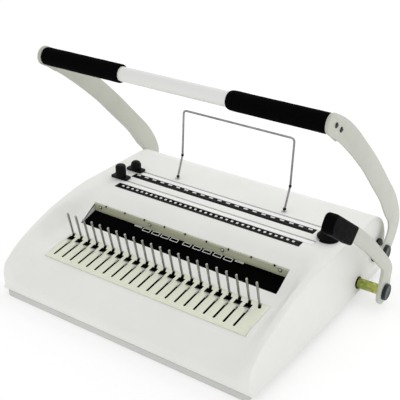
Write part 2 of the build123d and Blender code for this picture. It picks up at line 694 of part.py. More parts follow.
# ---- main handle -------------------------------------------------------------------------------
with BuildPart() as handle_shaft:
    with Locations(Location((0, PIVOT_Y, PIVOT_Z), (0, 90, 0))):
        Cylinder(SHAFT_R, 2 * ARM_OUT)
handle_shaft.part.label = "handle_shaft"
export_step(handle_shaft.part, "parts/handle_shaft.step")

arm_outer = [(-33, 312.4), (-4, 296.5), (54, 250), (105, 202), (147, 158), (172, 131), (185.5, 112), (195.5, 92.5),
             (198.8, 78), (195.8, 64), (186.5, 49.5), (PIVOT_Y + 10.6, PIVOT_Z - 10.6)]
arm_inner = [(PIVOT_Y - 13.5, PIVOT_Z + 6.5), (159, 69), (163.5, 80), (161, 90), (147.5, 106.5), (126.6, 134.4),
             (99.2, 164.1), (61.6, 203.7), (20.8, 241.1), (-21.7, 275.1), (-49, 292.5)]
for sx, tag in ((-1, "left"), (1, "right")):
    with BuildPart() as handle_arm:
        with BuildSketch(Plane.YZ.offset(sx * (ARM_IN + ARM_OUT) / 2)):
            with BuildLine():
                Spline(*arm_outer)
                Line(arm_outer[-1], arm_inner[0])
                Spline(*arm_inner)
                Line(arm_inner[-1], arm_outer[0])
            make_face()
            with Locations((PIVOT_Y, PIVOT_Z)):
                Circle(15)
            with Locations((TUBE_Y, TUBE_Z)):
                Circle(12.8)
            with Locations((PIVOT_Y, PIVOT_Z)):
                Circle(SHAFT_R, mode=Mode.SUBTRACT)
            with Locations((TUBE_Y + 8, TUBE_Z - 3.5), (TUBE_Y + 21, TUBE_Z - 13)):
                Circle(2.0, mode=Mode.SUBTRACT)
        extrude(amount=(ARM_OUT - ARM_IN) / 2, both=True)
    handle_arm.part.label = "handle_arm_" + tag
    export_step(handle_arm.part, "parts/handle_arm_" + tag + ".step")

screw_spots = [(TUBE_Y + 8, TUBE_Z - 3.5), (TUBE_Y + 21, TUBE_Z - 13)]
with BuildPart() as tube_lugs:
    for sx in (-1, 1):
        with BuildSketch(Plane.YZ.offset(sx * (ARM_IN - 1))):
            with Locations((TUBE_Y, TUBE_Z)):
                Circle(12.0)
            with BuildLine():
                Polyline((-34.5, 310.6), (-8.5, 297.5), (-26.0, 276.8), (-48.0, 293.0), close=True)
            make_face()
            with Locations(*screw_spots):
                Circle(2.0, mode=Mode.SUBTRACT)
        extrude(amount=1, both=True)
tube_lugs.part.label = "tube_lugs"
export_step(tube_lugs.part, "parts/tube_lugs.step")

with BuildPart() as handle_tube:
    with Locations(Location((0, TUBE_Y, TUBE_Z), (0, 90, 0))):
        Cylinder(TUBE_R, 2 * (ARM_IN - 2))
        Cylinder(TUBE_R - 1.5, 2 * (ARM_IN - 2), mode=Mode.SUBTRACT)
handle_tube.part.label = "handle_tube"
export_step(handle_tube.part, "parts/handle_tube.step")

for sx, tag in ((-1, "left"), (1, "right")):
    grip_len = ARM_IN - 2.4 - GRIP_IN
    with BuildPart() as grip:
        with Locations(Location((sx * (GRIP_IN + grip_len / 2), TUBE_Y, TUBE_Z), (0, 90, 0))):
            Cylinder(GRIP_R, grip_len)
            Cylinder(TUBE_R, grip_len + 2, mode=Mode.SUBTRACT)
        fillet(grip.edges().filter_by(GeomType.CIRCLE).sort_by(SortBy.RADIUS)[-2:], 1.5)
    grip.part.label = "grip_" + tag
    export_step(grip.part, "parts/grip_" + tag + ".step")

with BuildPart() as arm_screws:
    for sx in (-1, 1):
        for y, z in screw_spots:
            with Locations(Location((sx * (ARM_IN + ARM_OUT - 2) / 2, y, z), (0, 90, 0))):
                Cylinder(2.0, ARM_OUT - ARM_IN + 2)
            with Locations(Location((sx * (ARM_OUT + 1.0), y, z), (0, 90, 0))):
                Cylinder(3.3, 2.0)
arm_screws.part.label = "arm_screws"
export_step(arm_screws.part, "parts/arm_screws.step")

for sx, tag in ((-1, "left"), (1, "right")):
    with BuildPart() as pivot_cap:
        with Locations(Location((sx * (ARM_OUT + 2.5), PIVOT_Y, PIVOT_Z), (0, 90, 0))):
            Cylinder(11.5, 5.0)
        fillet(pivot_cap.edges().filter_by(GeomType.CIRCLE).sort_by(Axis.X)[-1 if sx > 0 else 0], 2.0)
    pivot_cap.part.label = "pivot_cap_" + tag
    export_step(pivot_cap.part, "parts/pivot_cap_" + tag + ".step")

for sx, tag in ((-1, "left"), (1, "right")):
    with BuildPart() as handle_bush:
        with BuildSketch(Plane.YZ.offset(sx * 199.6)):
            with Locations((PIVOT_Y, PIVOT_Z)):
                Circle(17.0)
                Circle(SHAFT_R + RUN, mode=Mode.SUBTRACT)
        extrude(amount=2.2 * sx, dir=(1, 0, 0))
        with BuildSketch(Plane.YZ.offset(sx * 190)):
            with Locations((PIVOT_Y, PIVOT_Z)):
                Circle(12.0)
                Circle(SHAFT_R + RUN, mode=Mode.SUBTRACT)
        extrude(amount=9.6 * sx, dir=(1, 0, 0))
    handle_bush.part.label = "handle_bush_" + tag
    export_step(handle_bush.part, "parts/handle_bush_" + tag + ".step")

# Cam whose flat-follower distance grows in step with the handle angle.
lift = PUNCH_STROKE / radians(HANDLE_SWING)
cam_points = []
for i in range(13):
    a = pi - radians(HANDLE_SWING) * i / 12
    h = 12.0 + lift * (pi - a)
    cam_points.append((PIVOT_Y + h * cos(a) + lift * sin(a), PIVOT_Z + h * sin(a) - lift * cos(a)))
with BuildPart() as drive_cams:
    for x in (-120, 120):
        with BuildSketch(Plane.YZ.offset(x)):
            with Locations((PIVOT_Y, PIVOT_Z)):
                Circle(11.9)
            with BuildLine():
                Polyline(*cam_points, (PIVOT_Y + 10.0, PIVOT_Z + 6.0), (PIVOT_Y, PIVOT_Z - 6), (PIVOT_Y - 11.8, PIVOT_Z), close=True)
            make_face()
            with Locations((PIVOT_Y, PIVOT_Z)):
                Circle(SHAFT_R, mode=Mode.SUBTRACT)
        extrude(amount=4, both=True)
drive_cams.part.label = "drive_cams"
export_step(drive_cams.part, "parts/drive_cams.step")

# ---- chip tray and base screws -----------------------------------------------------------------
with BuildPart() as chip_tray:
    with Locations((0, (5 + 184) / 2, 5.5 + 11)):
        Box(270, 179, 22)
    with Locations((0, (5 + 184) / 2, 7.5 + 15)):
        Box(266, 175, 30, mode=Mode.SUBTRACT)
    with Locations((0, 186.5, 24.5)):
        Box(90, 6, 6)
chip_tray.part.label = "chip_tray"
export_step(chip_tray.part, "parts/chip_tray.step")

with BuildPart() as base_screws:
    for x in (-170, 170):
        for y in (-100, 20, 140):
            with Locations((x, y, 1.8)):
                Cylinder(3.4, 1.2, align=(Align.CENTER, Align.CENTER, Align.MIN))
base_screws.part.label = "base_screws"
export_step(base_screws.part, "parts/base_screws.step")
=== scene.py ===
import json
import math

import bmesh
import bpy
import numpy as np
from mathutils import Matrix, Vector
from mathutils import noise as mnoise


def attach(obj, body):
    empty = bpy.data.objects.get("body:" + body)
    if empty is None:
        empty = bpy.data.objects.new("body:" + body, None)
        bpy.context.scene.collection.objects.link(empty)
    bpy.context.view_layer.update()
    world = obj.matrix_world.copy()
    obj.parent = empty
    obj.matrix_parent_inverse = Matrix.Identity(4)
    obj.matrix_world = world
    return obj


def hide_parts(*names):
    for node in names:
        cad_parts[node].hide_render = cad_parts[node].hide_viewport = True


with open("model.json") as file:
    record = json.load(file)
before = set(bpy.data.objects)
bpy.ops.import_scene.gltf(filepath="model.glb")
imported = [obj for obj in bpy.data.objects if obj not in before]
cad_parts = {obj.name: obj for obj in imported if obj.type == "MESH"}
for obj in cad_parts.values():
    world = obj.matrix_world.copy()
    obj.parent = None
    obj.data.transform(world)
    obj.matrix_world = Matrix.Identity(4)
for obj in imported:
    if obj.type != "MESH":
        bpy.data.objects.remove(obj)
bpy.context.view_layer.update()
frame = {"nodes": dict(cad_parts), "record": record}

NODES = frame["nodes"]
MM = 0.001

# ------------------------------------------------------------------ camera
CAM_AT = Vector((0.565557, -0.802625, 0.641722))
AZ, EL = math.radians(34.671), math.radians(27.452)
fwd = Vector((-math.sin(AZ) * math.cos(EL), math.cos(AZ) * math.cos(EL), -math.sin(EL)))
right = Vector((math.cos(AZ), math.sin(AZ), 0.0))
up = right.cross(fwd)
cam_data = bpy.data.cameras.new("camera")
cam = bpy.data.objects.new("camera", cam_data)
bpy.context.scene.collection.objects.link(cam)
cam.matrix_world = Matrix((
    (right.x, up.x, -fwd.x, CAM_AT.x),
    (right.y, up.y, -fwd.y, CAM_AT.y),
    (right.z, up.z, -fwd.z, CAM_AT.z),
    (0, 0, 0, 1),
))
cam_data.lens = 834.685 / 400 * 36
cam_data.sensor_width = 36
cam_data.clip_start, cam_data.clip_end = 0.01, 50
bpy.context.scene.camera = cam
bpy.context.scene.view_settings.view_transform = "Standard"


# --------------------------------------------------------------- materials
def new_mat(name):
    m = bpy.data.materials.new(name)
    m.use_nodes = True
    nt = m.node_tree
    return m, nt, nt.nodes["Principled BSDF"]


def link(nt, a, b):
    nt.links.new(a, b)


def coords(nt, scale=(1, 1, 1), rot=(0, 0, 0)):
    tc = nt.nodes.new("ShaderNodeTexCoord")
    mp = nt.nodes.new("ShaderNodeMapping")
    mp.inputs["Scale"].default_value = scale
    mp.inputs["Rotation"].default_value = rot
    link(nt, tc.outputs["Object"], mp.inputs["Vector"])
    return mp.outputs["Vector"]


def noise(nt, vec, scale, detail=4, rough=0.55):
    n = nt.nodes.new("ShaderNodeTexNoise")
    n.inputs["Scale"].default_value = scale
    n.inputs["Detail"].default_value = detail
    n.inputs["Roughness"].default_value = rough
    link(nt, vec, n.inputs["Vector"])
    return n.outputs["Fac"]


def ramp(nt, fac, stops):
    r = nt.nodes.new("ShaderNodeValToRGB")
    el = r.color_ramp.elements
    while len(el) < len(stops):
        el.new(0.5)
    for e, (p, c) in zip(el, stops):
        e.position = p
        e.color = (*c, 1) if len(c) == 3 else (c[0], c[0], c[0], 1)
    link(nt, fac, r.inputs["Fac"])
    return r.outputs["Color"]


def to_range(nt, fac, lo, hi, a=0.0, b=1.0):
    m = nt.nodes.new("ShaderNodeMapRange")
    m.inputs["From Min"].default_value = a
    m.inputs["From Max"].default_value = b
    m.inputs["To Min"].default_value = lo
    m.inputs["To Max"].default_value = hi
    link(nt, fac, m.inputs["Value"])
    return m.outputs["Result"]


def mixc(nt, fac, a, b):
    m = nt.nodes.new("ShaderNodeMix")
    m.data_type = "RGBA"
    if isinstance(fac, float):
        m.inputs["Factor"].default_value = fac
    else:
        link(nt, fac, m.inputs["Factor"])
    for v, s in ((a, m.inputs[6]), (b, m.inputs[7])):
        if isinstance(v, tuple):
            s.default_value = (*v, 1)
        else:
            link(nt, v, s)
    return m.outputs[2]


def bump(nt, bsdf, height, strength, dist):
    b = nt.nodes.new("ShaderNodeBump")
    b.inputs["Strength"].default_value = strength
    b.inputs["Distance"].default_value = dist
    link(nt, height, b.inputs["Height"])
    link(nt, b.outputs["Normal"], bsdf.inputs["Normal"])
    return b


def addf(nt, a, b, op="ADD", k=None):
    m = nt.nodes.new("ShaderNodeMath")
    m.operation = op
    link(nt, a, m.inputs[0])
    if k is None:
        link(nt, b, m.inputs[1])
    else:
        m.inputs[1].default_value = k
    return m.outputs[0]


def edge_mask(nt, lo=0.50, hi=0.56):
    """Where a surface turns outwards at an edge."""
    g = nt.nodes.new("ShaderNodeNewGeometry")
    return to_range(nt, g.outputs["Pointiness"], 0.0, 1.0, lo, hi)


def moulded(name, base, dark, rough=(0.38, 0.5), grain=1500, grain_k=0.25, spec=0.45, coat=0.0, big=14):
    """Moulded or painted plastic: fine grain, faint colour drift, soft gloss."""
    m, nt, p = new_mat(name)
    v = coords(nt)
    drift = noise(nt, v, big, 3)
    fine = noise(nt, v, grain, 2)
    mid = noise(nt, v, 160, 4)
    col = mixc(nt, to_range(nt, drift, 0.0, 1.0, 0.35, 0.65), base, dark)
    link(nt, col, p.inputs["Base Color"])
    link(nt, to_range(nt, mid, *rough, 0.3, 0.7), p.inputs["Roughness"])
    h = addf(nt, fine, addf(nt, mid, None, "MULTIPLY", 0.35))
    bump(nt, p, h, grain_k, 0.00025)
    p.inputs["Specular IOR Level"].default_value = spec
    p.inputs["Coat Weight"].default_value = coat
    p.inputs["Coat Roughness"].default_value = 0.12
    return m


def metal(name, base, dark, rough=(0.22, 0.4), grain=900, stretch=(1, 1, 1), k=0.12):
    m, nt, p = new_mat(name)
    v = coords(nt, stretch)
    n1 = noise(nt, v, grain, 3)
    n2 = noise(nt, coords(nt), 90, 4)
    col = mixc(nt, to_range(nt, n2, 0.0, 1.0, 0.35, 0.68), base, dark)
    link(nt, col, p.inputs["Base Color"])
    link(nt, to_range(nt, n1, *rough, 0.3, 0.7), p.inputs["Roughness"])
    p.inputs["Metallic"].default_value = 1.0
    bump(nt, p, n1, k, 0.0001)
    return m


def zinc_yellow():
    """Yellow-passivated zinc: straw colour drifting to green and pink."""
    m, nt, p = new_mat("zinc_yellow")
    v = coords(nt, (1, 1, 1))
    n = noise(nt, v, 55, 3)
    col = ramp(nt, n, [(0.30, (0.20, 0.24, 0.05)), (0.43, (0.46, 0.48, 0.13)), (0.53, (0.22, 0.30, 0.06)),
                       (0.64, (0.55, 0.42, 0.20)), (0.76, (0.28, 0.26, 0.10))])
    link(nt, col, p.inputs["Base Color"])
    f = noise(nt, coords(nt, (60, 900, 900)), 1, 3)
    link(nt, to_range(nt, f, 0.2, 0.42, 0.3, 0.7), p.inputs["Roughness"])
    p.inputs["Metallic"].default_value = 1.0
    bump(nt, p, f, 0.1, 0.0001)
    return m


def foam():
    """Closed-cell foam: matte black with small pores and soft sheen."""
    m, nt, p = new_mat("foam_black")
    v = coords(nt)
    vo = nt.nodes.new("ShaderNodeTexVoronoi")
    vo.inputs["Scale"].default_value = 1400
    link(nt, v, vo.inputs["Vector"])
    n = noise(nt, v, 450, 4, 0.7)
    col = mixc(nt, to_range(nt, n, 0.0, 1.0, 0.35, 0.7), (0.0010, 0.0010, 0.0011), (0.0024, 0.0024, 0.0026))
    link(nt, col, p.inputs["Base Color"])
    link(nt, to_range(nt, n, 0.82, 0.98, 0.3, 0.7), p.inputs["Roughness"])
    p.inputs["Specular IOR Level"].default_value = 0.02
    h = addf(nt, vo.outputs["Distance"], addf(nt, n, None, "MULTIPLY", 0.6))
    bump(nt, p, h, 0.55, 0.00035)
    return m


COVER = moulded("cover_abs", (0.825, 0.825, 0.798), (0.798, 0.799, 0.772), (0.40, 0.52), 1700, 0.22, 0.3)
# base tray in the cover's white paint, painted darker as shade for the shadow under the cover's skirt
BASE_SHADED = moulded("base_abs_shaded", (0.60, 0.61, 0.58), (0.56, 0.57, 0.545), (0.42, 0.56), 1500, 0.3, 0.4)
CREAM = moulded("plate_enamel", (0.755, 0.772, 0.635), (0.730, 0.747, 0.610), (0.25, 0.36), 700, 0.15, 0.5, 0.15)
ARM = moulded("arm_enamel", (0.505, 0.518, 0.450), (0.475, 0.489, 0.424), (0.30, 0.42), 800, 0.2, 0.5, 0.1)
OLIVE = moulded("bar_enamel", (0.450, 0.465, 0.330), (0.405, 0.420, 0.295), (0.35, 0.5), 900, 0.3, 0.35)
# white of the die lips and the floor print; on the lips it is a touch whiter than the cover, a painted highlight for
# the light the lips catch
LIP = moulded("lip_white", (0.88, 0.88, 0.87), (0.85, 0.85, 0.835), (0.25, 0.36), 900, 0.1, 0.5, 0.1)
BLACK = moulded("trim_black", (0.0022, 0.0022, 0.0024), (0.0040, 0.0040, 0.0042), (0.36, 0.52), 1600, 0.3, 0.10)
SATIN = moulded("strip_black", (0.0022, 0.0022, 0.0022), (0.0035, 0.0035, 0.0035), (0.45, 0.6), 1200, 0.2, 0.06)
FLOOR_B = moulded("floor_black", (0.0015, 0.0016, 0.0016), (0.0024, 0.0025, 0.0025), (0.40, 0.55), 1200, 0.12, 0.0)
BUTTON = moulded("button_white", (0.80, 0.80, 0.77), (0.74, 0.74, 0.71), (0.35, 0.5), 1500, 0.2, 0.5)
CAPM = moulded("cap_black", (0.006, 0.013, 0.014), (0.010, 0.020, 0.022), (0.30, 0.42), 1500, 0.2, 0.30)
RUBBER = moulded("foot_rubber", (0.012, 0.012, 0.012), (0.022, 0.022, 0.021), (0.7, 0.9), 900, 0.6, 0.3)
TRAY = moulded("tray_grey", (0.55, 0.56, 0.55), (0.50, 0.51, 0.50), (0.45, 0.6), 1300, 0.3, 0.4)
PIN = metal("pin_steel", (0.46, 0.46, 0.44), (0.34, 0.34, 0.33), (0.16, 0.30))
STEEL = metal("zinc_steel", (0.62, 0.62, 0.60), (0.48, 0.48, 0.47), (0.25, 0.45))
FRAME_M = metal("frame_steel", (0.52, 0.53, 0.53), (0.42, 0.43, 0.43), (0.35, 0.55), 300, (1, 1, 6))
CHROME = metal("support_chrome", (0.34, 0.33, 0.34), (0.22, 0.21, 0.23), (0.08, 0.2), 500, (1, 1, 1), 0.04)
TUBE = moulded("tube_enamel", (0.77, 0.77, 0.75), (0.745, 0.745, 0.725), (0.28, 0.4), 800, 0.12, 0.4, 0.1)
HOOK = metal("hook_steel", (0.52, 0.52, 0.49), (0.40, 0.40, 0.38), (0.2, 0.35), 600)
DARK_M = metal("oiled_steel", (0.10, 0.10, 0.10), (0.06, 0.06, 0.062), (0.3, 0.5), 400)
PUNCH = metal("punch_steel", (0.50, 0.51, 0.52), (0.40, 0.41, 0.42), (0.2, 0.35), 700, (1, 8, 1))
ZINC = zinc_yellow()
FOAM = foam()

SLOT_MAT = {
    "cover_white": COVER, "base_white": BASE_SHADED, "foot_rubber": RUBBER, "zinc_steel": STEEL, "frame_steel": FRAME_M,
    "cream_plate": CREAM, "pin_steel": PIN, "floor_black": FLOOR_B, "bar_olive": OLIVE, "lip_white": LIP,
    "strip_black": SATIN, "button_white": BUTTON, "trim_black": BLACK, "arm_paint": ARM, "grip_foam": FOAM,
    "lever_zinc": ZINC, "support_chrome": CHROME, "punch_steel": PUNCH, "tray_plastic": TRAY,
}
slot_of = {s["node"]: s["material_slot"] for s in frame["record"]["subparts"]}


def paint(o, m):
    o.data.materials.clear()
    o.data.materials.append(m)


# hook_carriage is given satin black as painted shade, so the view down the comb plate's openings reads dark
OWN_MAT = {"handle_tube": TUBE, "hook_carriage": SATIN, "pin_bar": SATIN, "plate_rail": DARK_M, "pull_rod": DARK_M,
           "comb_hooks": HOOK}


def mat_of(node):
    return OWN_MAT.get(node) or SLOT_MAT[slot_of[node]]


for name, o in NODES.items():
    paint(o, mat_of(name))


# ------------------------------------------------------------ mesh helpers
def new_obj(name, verts, faces, body, mat, replaces=(), smooth=True, angle=None):
    me = bpy.data.meshes.new(name)
    me.from_pydata([tuple(Vector(v) * MM) for v in verts], [], faces)
    me.update()
    o = bpy.data.objects.new(name, me)
    bpy.context.scene.collection.objects.link(o)
    return dress(o, body, mat, replaces, smooth, angle)


def dress(o, body, mat, replaces=(), smooth=True, angle=None):
    me = o.data
    me.materials.clear()
    for m in (mat if isinstance(mat, (list, tuple)) else [mat]):
        me.materials.append(m)
    if smooth:
        me.polygons.foreach_set("use_smooth", [True] * len(me.polygons))
        if angle is not None:
            me.set_sharp_from_angle(angle=math.radians(angle))
    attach(o, body)
    if replaces:
        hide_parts(*replaces)
    return o


def apply_mods(o):
    bpy.context.view_layer.update()
    dg = bpy.context.evaluated_depsgraph_get()
    me = bpy.data.meshes.new_from_object(o.evaluated_get(dg))
    o.modifiers.clear()
    old = o.data
    o.data = me
    bpy.data.meshes.remove(old)
    return o


def grid_faces(rows, cols, closed=False):
    out = []
    for i in range(rows - 1):
        for j in range(cols - (0 if closed else 1)):
            k = (j + 1) % cols
            out.append((i * cols + j, i * cols + k, (i + 1) * cols + k, (i + 1) * cols + j))
    return out


# ------------------------------------------------------------------- cover
def rounded(points, cuts, n_line, n_arc=6):
    """Polyline with its corners turned as short parabolas; equal counts give matching samples."""
    P = [np.array(p, float) for p in points]
    out = []
    prev = P[0]
    for k in range(1, len(P) - 1):
        a, b = P[k] - P[k - 1], P[k + 1] - P[k]
        la, lb = max(np.linalg.norm(a), 1e-9), max(np.linalg.norm(b), 1e-9)
        d = min(cuts[k], 0.48 * la, 0.48 * lb)
        A, C = P[k] - a / la * d, P[k] + b / lb * d
        out += [prev + (A - prev) * s / n_line[k - 1] for s in range(n_line[k - 1])]
        for s in range(n_arc):
            t = s / n_arc
            out.append((1 - t) ** 2 * A + 2 * t * (1 - t) * P[k] + t * t * C)
        prev = C
    n = n_line[-1]
    out += [prev + (P[-1] - prev) * s / n for s in range(n + 1)]
    return np.array(out)


REAR_C, REAR_R = (133.0, 51.4), 52.0
arc = [(REAR_C[0] + REAR_R * math.sin(a), REAR_C[1] + REAR_R * math.cos(a)) for a in np.radians(np.linspace(0, 90, 13))]
bay_pts = [(-168, 11), (-170, 25), (-160, 36), (-130, 59.4), (-90, 64.7), (-51, 69.9), (-19.6, 89), (2, 99.6),
           (16, 103.4)] + arc + [(185, 11)]
crest_pts = [(-168, 11), (-170, 34), (-167, 49.5), (-140, 68.5), (-105, 82), (-70, 92.5), (-40, 98), (-14, 101.8),
             (6, 103.4)] + arc + [(185, 11)]
cuts = [0, 6, 6, 12, 12, 9, 14, 10, 8] + [3] * 13 + [0]
lines = [4, 3, 5, 5, 5, 5, 3, 2, 10] + [1] * 12 + [6]
bay = rounded(bay_pts, cuts, lines)
crest = rounded(crest_pts, [0, 5, 7, 14, 14, 14, 14, 14, 14] + [3] * 13 + [0], lines)
NT = len(bay)

FLANK_Z = [11, 12.2, 13.5, 15, 17, 20, 24, 34, 52, 76, 92, 105.4]
FLANK_X = [204.0, 202.7, 201.7, 200.9, 200.2, 199.65, 199.4, 199.2, 199.1, 198.9, 198.7, 198.3]


def flank_x(z, y):
    """Half width of the shell: flared at the skirt, a little narrower towards the front."""
    return float(np.interp(z, FLANK_Z, FLANK_X)) - 4.7 * min(max((10 - y) / 190, 0), 1)


length = np.concatenate([[0], np.cumsum(np.linalg.norm(np.diff(crest, axis=0), axis=1))])
foot_y = -168.0 + 353.0 * length / length[-1]

skin = []
for t in range(NT):
    (yb, zb), (yc, zc) = bay[t], crest[t]
    half = rounded([(0, yb, zb), (172, yb, zb), (188.5, yc, zc), (flank_x(zc, yc), yc, zc),
                    (flank_x(11, foot_y[t]), foot_y[t], 11)], [0, 5, 2.6, 2.6, 0], [8, 5, 1, 14], 5)
    low = len(half) - 15
    top, foot = half[low].copy(), half[-1].copy()
    for n, p in enumerate(half[low:]):
        k = 1 - (1 - n / 14) ** 1.8
        p[1:] = top[1:] + (foot[1:] - top[1:]) * k
        p[0] = flank_x(p[2], p[1])
    left = half[:0:-1].copy()
    left[:, 0] *= -1
    skin.append(np.vstack([left, half]))
NC = len(skin[0])


def boxed(bm, lo, hi, plane=None):
    """Adds a closed box to a bmesh, in millimetres, in a plane's own axes when one is given."""
    v = []
    for x in (lo[0], hi[0]):
        for y in (lo[1], hi[1]):
            for z in (lo[2], hi[2]):
                p = Vector((x, y, z))
                v.append(bm.verts.new((plane @ p if plane else p) * MM))
    for f in ((0, 1, 3, 2), (4, 6, 7, 5), (0, 4, 5, 1), (2, 3, 7, 6), (0, 2, 6, 4), (1, 5, 7, 3)):
        bm.faces.new([v[i] for i in f])


def rod(bm, a, b, r, n=40):
    a, b = Vector(a), Vector(b)
    d = (b - a).normalized()
    m = Matrix.Translation((a + b) / 2 * MM) @ d.to_track_quat("Z", "Y").to_matrix().to_4x4()
    bmesh.ops.create_cone(bm, cap_ends=True, segments=n, radius1=r * MM, radius2=r * MM, depth=(b - a).length * MM, matrix=m)


def carve(o, fill):
    """Cuts away from a piece everything that fill() puts in a bmesh."""
    bm = bmesh.new()
    fill(bm)
    bmesh.ops.recalc_face_normals(bm, faces=bm.faces)
    me = bpy.data.meshes.new("cut")
    bm.to_mesh(me)
    bm.free()
    c = bpy.data.objects.new("cut", me)
    bpy.context.scene.collection.objects.link(c)
    md = o.modifiers.new("cut", "BOOLEAN")
    md.operation, md.solver, md.object = "DIFFERENCE", "EXACT", c
    apply_mods(o)
    bpy.data.objects.remove(c)


TILT = math.radians(7.57)
PLATE = Matrix(((1, 0, 0, 0), (0, math.cos(TILT), -math.sin(TILT), -123.0), (0, math.sin(TILT), math.cos(TILT), 60.3), (0, 0, 0, 1)))

cover = new_obj("cover_shell", np.vstack(skin), grid_faces(NT, NC), "chassis", COVER, ["cover"])
bm = bmesh.new()
bm.from_mesh(cover.data)
bmesh.ops.remove_doubles(bm, verts=bm.verts, dist=1e-6)
bmesh.ops.dissolve_degenerate(bm, edges=bm.edges, dist=1e-6)
bm.to_mesh(cover.data)
bm.free()
sol = cover.modifiers.new("wall", "SOLIDIFY")
sol.thickness, sol.offset, sol.use_rim = 2.3 * MM, -1, True
apply_mods(cover)


def cover_cuts(bm):
    boxed(bm, (-153.35, -7.35, -9), (163.85, 50.65, 9), PLATE)
    boxed(bm, (-158.5, -51, 55), (158.5, -18.2, 115))
    for y0, y1 in ((28.8, 40.3), (66.8, 78.3)):
        boxed(bm, (-153.2, y0, 97), (164.2, y1, 110))
    for y0, y1 in ((16.0, 28.0), (54.0, 66.4)):
        boxed(bm, (-150.9, y0, 102.7), (150.9, y1, 111))
    lean = Vector((0, 0.379, 0.925))
    for sx in (1, -1):
        at = Vector((sx * 89.6, 86.5 - 0.6, 103.4 - 1.2))
        rod(bm, at - lean * 6, at + lean * 6, 3.6)
        rod(bm, (sx * 180, 157.3, 45.3), (sx * 215, 157.3, 45.3), 12.2)
    rod(bm, (180, 102.5, 21), (215, 102.5, 21), 8.7)
    boxed(bm, (-136.4, 175, 9), (136.4, 196, 29.5))


carve(cover, cover_cuts)
dress(cover, "chassis", COVER, angle=32)

# side walls of the sunken floor
def bay_z(y):
    return float(np.interp(y, bay[:, 0], bay[:, 1]))


def floor_z(y):
    return 69.0 + (y + 50.7) * math.tan(math.radians(15.5))


verts, faces = [], []
ys = np.linspace(-50.9, -18.3, 24)
for sx in (-1, 1):
    n0 = len(verts)
    for y in ys:
        for x in (158.5, 160.4):
            verts.append((sx * x, y, floor_z(y) - 4))
            verts.append((sx * x, y, bay_z(y) - 0.25))
    for i in range(len(ys) - 1):
        a = n0 + 4 * i
        for q in ((0, 1, 5, 4), (2, 6, 7, 3), (1, 3, 7, 5), (0, 4, 6, 2)):
            faces.append([a + k for k in q])
    faces.append([n0, n0 + 2, n0 + 3, n0 + 1])
    a = n0 + 4 * (len(ys) - 1)
    faces.append([a, a + 1, a + 3, a + 2])
walls = new_obj("recess_walls", verts, faces, "chassis", COVER, (), angle=30)


# ----------------------------------------------- finer copies of CAD forms
BODY = {n: b for b, names in frame["record"]["behaviour"]["bodies"].items() for n in names}


def finer(node, width, segs=2, limit=34, mat=None, sharp=40, flat=1.2):
    """The node's own form with its edges softened inwards."""
    src = NODES[node]
    me = src.data.copy()
    o = bpy.data.objects.new(node + "_form", me)
    bpy.context.scene.collection.objects.link(o)
    bm = bmesh.new()
    bm.from_mesh(me)
    bmesh.ops.remove_doubles(bm, verts=bm.verts, dist=3e-6)
    bmesh.ops.dissolve_degenerate(bm, edges=bm.edges, dist=2e-6)
    bmesh.ops.dissolve_limit(bm, angle_limit=math.radians(flat), verts=bm.verts, edges=bm.edges)
    bm.to_mesh(me)
    bm.free()
    b = o.modifiers.new("soft", "BEVEL")
    b.width, b.segments, b.limit_method, b.angle_limit = width * MM, segs, "ANGLE", math.radians(limit)
    b.harden_normals = False
    b.use_clamp_overlap = True
    b.miter_outer = "MITER_ARC"
    apply_mods(o)
    return dress(o, BODY[node], mat or mat_of(node), [node], angle=sharp)


def ringed(name, rings, body, mat, replaces=(), closed=False, caps=True, angle=None, extra=None):
    """Skins a list of equal rings of points, in millimetres."""
    n = len(rings[0])
    verts = [p for r in rings for p in r]
    rows = len(rings)
    faces = grid_faces(rows, n, True)
    if closed:
        for j in range(n):
            k = (j + 1) % n
            faces.append(((rows - 1) * n + j, (rows - 1) * n + k, k, j))
    elif caps:
        faces.append(tuple(reversed(range(n))))
        faces.append(tuple((rows - 1) * n + j for j in range(n)))
    o = new_obj(name, verts, faces, body, mat, replaces, angle=angle)
    bm = bmesh.new()
    bm.from_mesh(o.data)
    bmesh.ops.recalc_face_normals(bm, faces=bm.faces)
    bm.to_mesh(o.data)
    bm.free()
    return o


def turned(name, profile, at, axis, body, mat, n=64, replaces=(), closed=False, flute=None, angle=36):
    """A turned piece: profile of (distance along the axis, radius, flute depth)."""
    at = Vector(at)
    axis = Vector(axis).normalized()
    u = axis.orthogonal().normalized()
    if abs(axis.x) > 0.9:
        u = Vector((0, 0, 1))
    w = axis.cross(u)
    rings = []
    for p in profile:
        h, r = p[0], p[1]
        depth = p[2] if len(p) > 2 else 0
        ring = []
        for k in range(n):
            a = 2 * math.pi * k / n
            rr = r
            if flute and depth:
                rr -= depth * (0.5 - 0.5 * math.cos(a * flute)) ** 2
            ring.append(tuple(at + axis * h + (u * math.cos(a) + w * math.sin(a)) * rr))
        rings.append(ring)
    return ringed(name, rings, body, mat, replaces, closed=closed, angle=angle)


def joined(name, objs, body, mat, replaces=(), angle=36):
    """Several small solids as one piece."""
    bm = bmesh.new()
    for o in objs:
        bm.from_mesh(o.data)
    me = bpy.data.meshes.new(name)
    bm.to_mesh(me)
    bm.free()
    for o in objs:
        bpy.data.objects.remove(o)
    o = bpy.data.objects.new(name, me)
    bpy.context.scene.collection.objects.link(o)
    return dress(o, body, mat, replaces, angle=angle)


